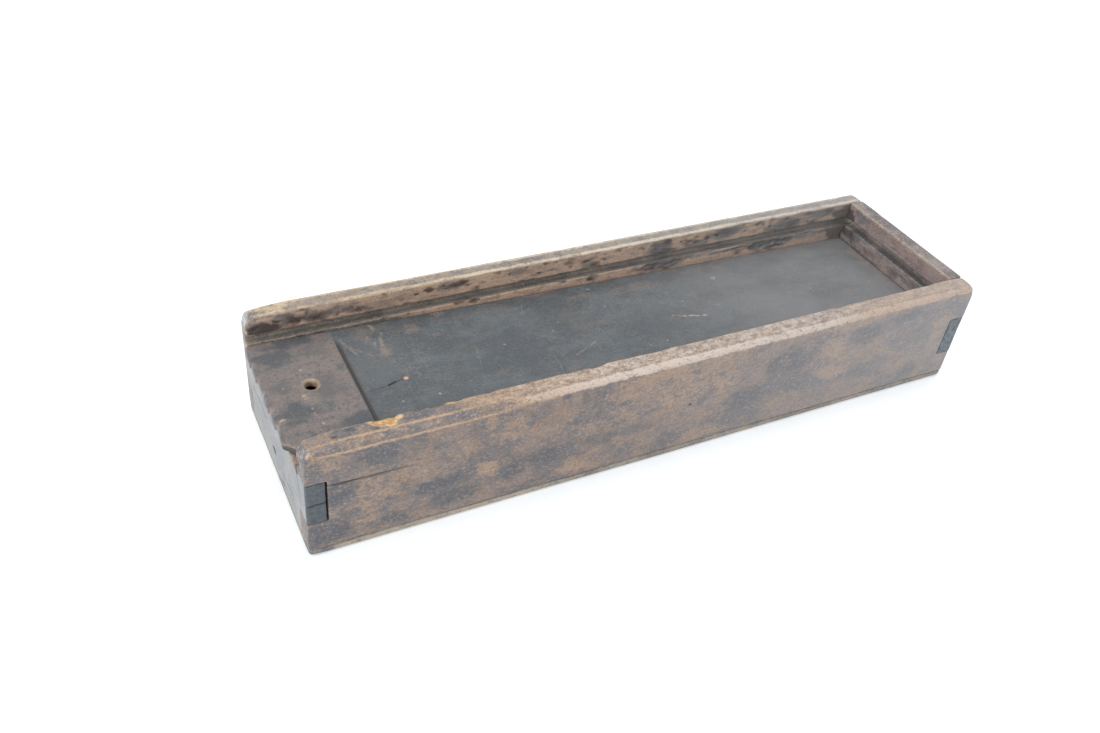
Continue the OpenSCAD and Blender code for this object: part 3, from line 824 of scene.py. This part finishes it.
def bottom_board():
    s = Sculpt(BASE_LOW, BASE_HIGH, (0.8, 0.6, 0.25), 5, fine=(52.0, 0.5))
    ragged = 0.5 + 0.5 * s.noise((7, 7, 7), 1)
    radius = 0.2 + 0.25 * s.near((None, None, 0.0), 1.6) * ragged + 0.8 * s.near((NEAR_X, FRONT_Y, 0.0), 4.0)
    s.d = s.box_distance(BASE_LOW, BASE_HIGH, np.minimum(radius, 1.05))
    s.dent(0.04 * (1.0 + s.noise((24, 10, 9), 2)))
    for k, (along, long, deep) in enumerate((
            (8, 3.5, 0.4), (17, 4.5, 0.6), (27, 3, 0.4), (36, 5, 0.5), (49, 4, 0.4), (60, 6, 0.4),
            (78, 4, 0.3), (96, 4, 0.25), (150, 5, 0.25), (196, 4, 0.3))):
        s.chip(at(along, -0.4, 2.5), (long, 0.4 + deep, 0.7), 0.45, 51 + k, stain=0.5)
    edge = smooth(s.y, FRONT_Y + 2.0, FRONT_Y + 0.5)
    browned = 0.8 * edge * smooth(s.x, NEAR_X + 3, NEAR_X + 9)
    s.paint("brown", browned * smooth(s.x, NEAR_X + 100, NEAR_X + 60))
    s.patch("patina", at(1, 1, 1), (7, 5, 3))
    # painted shade: the seam under the front side darkened along the near half
    seam_shade = 0.8 * edge * smooth(s.z, BASE_HIGH[2] - 0.55, BASE_HIGH[2] - 0.2)
    seam_shade = seam_shade * smooth(s.noise((6, 40, 40), 4), -0.6, 0.2)
    s.paint("stain", seam_shade * smooth(s.x, NEAR_X + 120, NEAR_X + 70))
    s.mark_wear(0.9, rub=0.3)
    tones = dict(dark="77726d", light="97908a", tan="a3927f", pale="b3a698", deep="57524e", patina="5e6064",
                 wear_and_highlight="bbb0a5", brown="b3a592", stain="4a3a31")
    s.build("bottom_board", plain_wood("base_wood", tones, 23.0), CASE, "base_wood")


def lid_near_edge(s):
    """How far the near edge is chipped back at each place across: a shallow step to each chip."""
    edge, back = np.zeros_like(s.y), LID_W
    for wide in CHIP_WIDTHS:
        here = (s.y <= back) & (s.y > back - wide)
        edge = np.where(here, CHIP_STEP * (s.y - back + wide) / wide, edge)
        back -= wide
    return edge + 0.07 * (1.0 + s.noise((40, 4.0, 3), 1))


def sliding_lid():
    s = Sculpt((0, 0, -LID_T), (LID_L, LID_W, 0), (0.8, 0.45, 0.22), 6, fine=(46.0, 0.4))
    edge = lid_near_edge(s)
    radius = 0.25 + 0.45 * s.near((0, None, None), 3.0) * (1.0 + s.noise((9, 3, 9), 2))
    s.d = s.box_distance((edge, 0, -LID_T), (LID_L, LID_W, 0), np.clip(radius, 0.2, 1.0))
    s.dent(0.05 * (1.0 + s.noise((30, 9, 9), 3)) * s.near((None, None, 0), 1.2))
    # the front corner has broken away, and the edge has shelled off in scoops
    broken = np.sqrt(((s.x + 1.0) / 4.9) ** 2 + ((s.y - 1.5) / 6.8) ** 2) - 1.0
    broken = 4.5 * broken + 0.25 * s.noise((2.0, 2.0, 9.0), 51)
    s.cut(broken)
    s.paint("bare", 0.34 * smooth(broken, 0.6, 0.15) * smooth(s.z, -0.7, -0.3))
    s.paint("stain", 0.9 * smooth(s.z, -0.3, -0.8) * smooth(broken, 1.0, 0.3))
    for k, (across, reach, half, deep) in enumerate((
            (47, 1.9, 3.9, 0.3), (39.4, 2.1, 3.2, 0.3), (33, 1.7, 2.7, 0.25), (26.2, 3.3, 3.8, 0.5),
            (18.8, 2.2, 3.4, 0.35), (11.6, 2.5, 3.5, 0.35))):
        s.chip((0, across, 1.0), (reach / 0.72, half / 0.72, 1.0 + deep), 0.06, 60 + k)
        q = np.sqrt((s.x / reach) ** 2 + ((s.y - across) / half) ** 2) + 0.10 * s.noise((1.5, 1.5, 9), 70 + k)
        arc = smooth(np.abs(q - 1.04), 0.17, 0.05) * s.near((None, None, 0), 1.0)
        s.paint("bare", 0.42 * arc * (0.5 + 0.5 * s.noise((2, 3, 9), 80 + k)))
        s.paint("patina", 0.45 * smooth(q, 1.0, 0.6) * s.near((None, None, 0), 1.5))
    # thumb notch: a shallow dish that a straight wall cuts off
    away = np.sqrt((s.x - NOTCH_CENTRE_X) ** 2 + (s.y - LID_W / 2) ** 2)
    slope = NOTCH_DEPTH / (NOTCH_R - (NOTCH_X - NOTCH_CENTRE_X))
    floor_z = -slope * np.maximum(NOTCH_R - away, 0.0)
    s.cut(np.maximum(floor_z - s.z, NOTCH_X - s.x))
    # peg hole with a rubbed rim
    from_hole = np.sqrt((s.x - PEG_HOLE[0]) ** 2 + (s.y - PEG_HOLE[1]) ** 2)
    s.cut(from_hole - PEG_HOLE_R)
    s.cut((from_hole - PEG_HOLE_R - 1.6 * (s.z + 0.5)) * 0.55)
    ring = smooth(np.abs(from_hole - PEG_HOLE_R - 0.55), 0.8, 0.15) * s.near((None, None, 0), 1.0)
    s.paint("bare", 0.45 * ring)
    s.paint("bare", 0.40 * smooth(from_hole, PEG_HOLE_R + 0.5, PEG_HOLE_R))
    s.paint("chalk_and_sheen", 0.45 * smooth(s.x - edge, 1.6, 0.4) * smooth(s.noise((5, 4, 5), 14), -0.4, 0.6))
    # colours: brown near part, worn patches by the back edge, and the far end lightened as painted light in
    # the lid's material
    on_plateau = smooth(s.x, NOTCH_X + 0.4, NOTCH_X - 0.2)
    beyond = 0.55 * smooth(s.x, NOTCH_X + 16.0, NOTCH_X + 2.0) * smooth(NOTCH_R - away, 2.0, -3.0)
    s.paint("brown", np.maximum(on_plateau, beyond) * (0.8 + 0.2 * s.noise(6.0, 12)))
    dish = smooth(NOTCH_R - away, -0.4, 0.6) * smooth(s.x, NOTCH_X - 0.2, NOTCH_X + 0.2)
    s.paint("patina", 0.35 * dish)
    # painted shadow: the dish is darkened for about 2 mm behind the notch's wall
    shade = smooth(s.x, NOTCH_X + 2.1, NOTCH_X + 0.7) * dish * smooth(NOTCH_R - away, 0.5, 6.0)
    for along, across, wide, tall, amount in (
            (14.6, 50.5, 7, 4, 0.8), (7, 19, 6, 5, 0.8), (6, 44, 6, 5, 0.7), (22, 10, 8, 6, 0.8),
            (5, 30, 4, 4, 0.5), (18, 26, 6, 6, 0.5), (20, 45, 5, 5, 0.4), (52, 10, 20, 6, 0.5),
            (75, 26, 18, 12, 0.6), (60, 34, 10, 8, 0.5), (95, 40, 12, 8, 0.4), (128, 26, 16, 9, 0.4)):
        s.patch("patina", (along, across, 0), (wide, tall, 2), amount)
    for along, across, wide, tall, amount in (
            (61, 50.5, 3, 1.5, 1), (49.5, 45, 3, 3, 0.7), (56.5, 41, 2.5, 1.5, 0.6),
            (106.7, 45.5, 3, 1, 0.6), (94.3, 51, 5, 1, 0.7), (38.6, 37, 2.5, 2.5, 0.9), (35, 46, 3, 5, 0.6),
            (112, 46, 4, 2, 0.5), (160, 48, 12, 2, 0.5), (225, 26, 4, 24, 0.9), (130, 45, 14, 3, 0.5),
            (45, 30, 6, 8, 0.3)):
        s.patch("brown", (along, across, 0), (wide, tall, 2), amount)
    for along, across, size, amount in (
            (160, 42, 1.1, 1), (141, 33, 0.8, 0.8), (152.5, 28, 0.7, 0.8), (179, 33.5, 0.8, 0.7),
            (85.5, 46, 0.6, 0.7), (127.5, 38, 0.9, 0.6), (134, 34, 0.8, 0.6), (119, 15.5, 1.2, 0.6),
            (117, 21, 0.7, 0.5), (43, 32, 0.5, 0.6), (34, 34, 0.6, 0.6), (35.5, 45.5, 0.6, 0.6),
            (50, 34, 0.5, 0.5), (68, 25, 0.4, 0.5), (36, 29, 0.4, 0.5)):
        s.paint("chalk_and_sheen", amount * s.near((along, across, 0), (size, size, 1.5)))
    s.mark_wear(0.9, rub=0.35)
    s.paint("painted_shade", shade)
    place = Matrix.Translation(Vector(LID_CORNER) * MM) @ Matrix.Rotation(LID_TILT, 4, "Y")
    s.build("sliding_lid", lid_wood(), LID, "lid_wood", place)


def whetstone():
    s = Sculpt(STONE_LOW, STONE_HIGH, (1.0, 0.8, 0.4), 7)
    radius = 0.8 + 0.35 * s.noise((9, 5, 5), 1)
    s.d = s.box_distance(STONE_LOW, STONE_HIGH, radius)
    middle = (STONE_LOW + STONE_HIGH) / 2
    length, width = STONE_HIGH[0] - STONE_LOW[0], STONE_HIGH[1] - STONE_LOW[1]
    dished = np.clip(1.0 - ((s.x - middle[0]) / (0.46 * length)) ** 2, 0.0, 1.0)
    dished = dished * np.clip(1.15 - ((s.y - middle[1]) / (0.6 * width)) ** 2, 0.0, 1.0)
    s.dent(0.8 * dished * smooth(s.z, STONE_HIGH[2] - 4.0, STONE_HIGH[2] - 1.5))
    s.dent(0.04 * (1.0 + s.noise((7, 7, 7), 2)))
    s.chip((STONE_LOW[0], STONE_LOW[1] + 8, STONE_HIGH[2]), (2.2, 4.0, 2.2), 0.5, 51)
    s.chip((STONE_HIGH[0], STONE_HIGH[1], STONE_HIGH[2]), (4.0, 3.0, 2.5), 0.5, 52)
    s.chip((middle[0] + 40, STONE_LOW[1], STONE_HIGH[2]), (5.0, 1.4, 1.4), 0.4, 53)
    s.patch("stain", (middle[0], middle[1], STONE_HIGH[2]), (70, 20, 4), 0.8)
    s.mark_wear(1.2)
    s.build("whetstone", stone_material(), CASE, "hone_stone")


def bottom_brads():
    """The brads keep their CAD shape: only their heads show, flush with the bottom board."""
    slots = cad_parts["bottom_brads"].data.materials
    slots.clear()
    slots.append(iron_material())


# -------------------------------- stage, light and camera

def stage():
    """A white table top under the case, bright enough to lose most of the case's shadow."""
    bpy.ops.mesh.primitive_plane_add(size=6.0, location=(0, 0, cad_low.z - 0.0002))
    table = bpy.context.object
    table.name = "table_top"
    p = Paint("pale_table")
    grain = p.noise(40.0, 3.0, 0.5, 1.0)
    p.set("Base Color", p.blend(grain, colour("f1f4f7"), colour("f6f8fa")))
    p.set("Roughness", 0.7)
    p.set("Emission Color", (0.97, 0.985, 1.0, 1.0))
    p.set("Emission Strength", 0.17)
    table.data.materials.append(p.material)


def lamp(name, energy, size, place, tint=(1.0, 1.0, 1.0)):
    light = bpy.data.lights.new(name, "AREA")
    light.energy, light.size, light.color = energy, size, tint
    made = bpy.data.objects.new(name, light)
    made.location = place
    made.rotation_euler = (-Vector(place)).to_track_quat("-Z", "Y").to_euler()
    bpy.context.scene.collection.objects.link(made)


def camera():
    """The viewpoint: over the near end from the front, with a slight roll."""
    aim = Vector((-0.0279, -0.0016, 0.019))
    azimuth, elevation, roll = math.radians(-30.8), math.radians(39.0), math.radians(7.15)
    distance = 0.3201
    level = math.cos(elevation)
    back = Vector((math.sin(azimuth) * level, -math.cos(azimuth) * level, math.sin(elevation)))
    data = bpy.data.cameras.new("view")
    data.sensor_width, data.lens = 36.0, 33.42
    data.clip_start, data.clip_end = 0.01, 20.0
    made = bpy.data.objects.new("view", data)
    turn = (-back).to_track_quat("-Z", "Y").to_matrix() @ Matrix.Rotation(roll, 3, "Z")
    made.matrix_world = Matrix.Translation(aim + back * distance) @ turn.to_4x4()
    bpy.context.scene.collection.objects.link(made)
    bpy.context.scene.camera = made


def sky():
    world = bpy.data.worlds.new("soft_sky")
    world.use_nodes = True
    background = world.node_tree.nodes["Background"]
    background.inputs["Color"].default_value = (0.95, 0.98, 1.0, 1.0)
    background.inputs["Strength"].default_value = 0.75
    bpy.context.scene.world = world
    bpy.context.scene.view_settings.view_transform = "Standard"


front_side()
back_side()
near_end_wall()
far_end_wall()
bottom_board()
sliding_lid()
whetstone()
bottom_brads()

stage()
lamp("window", 17.0, 1.0, (-1.5, -0.35, 0.75), (0.97, 0.99, 1.0))
lamp("overhead", 12.0, 1.6, (0.2, 0.3, 1.6))
lamp("front_fill", 3.0, 1.4, (0.5, -1.5, 0.9))
camera()
sky()
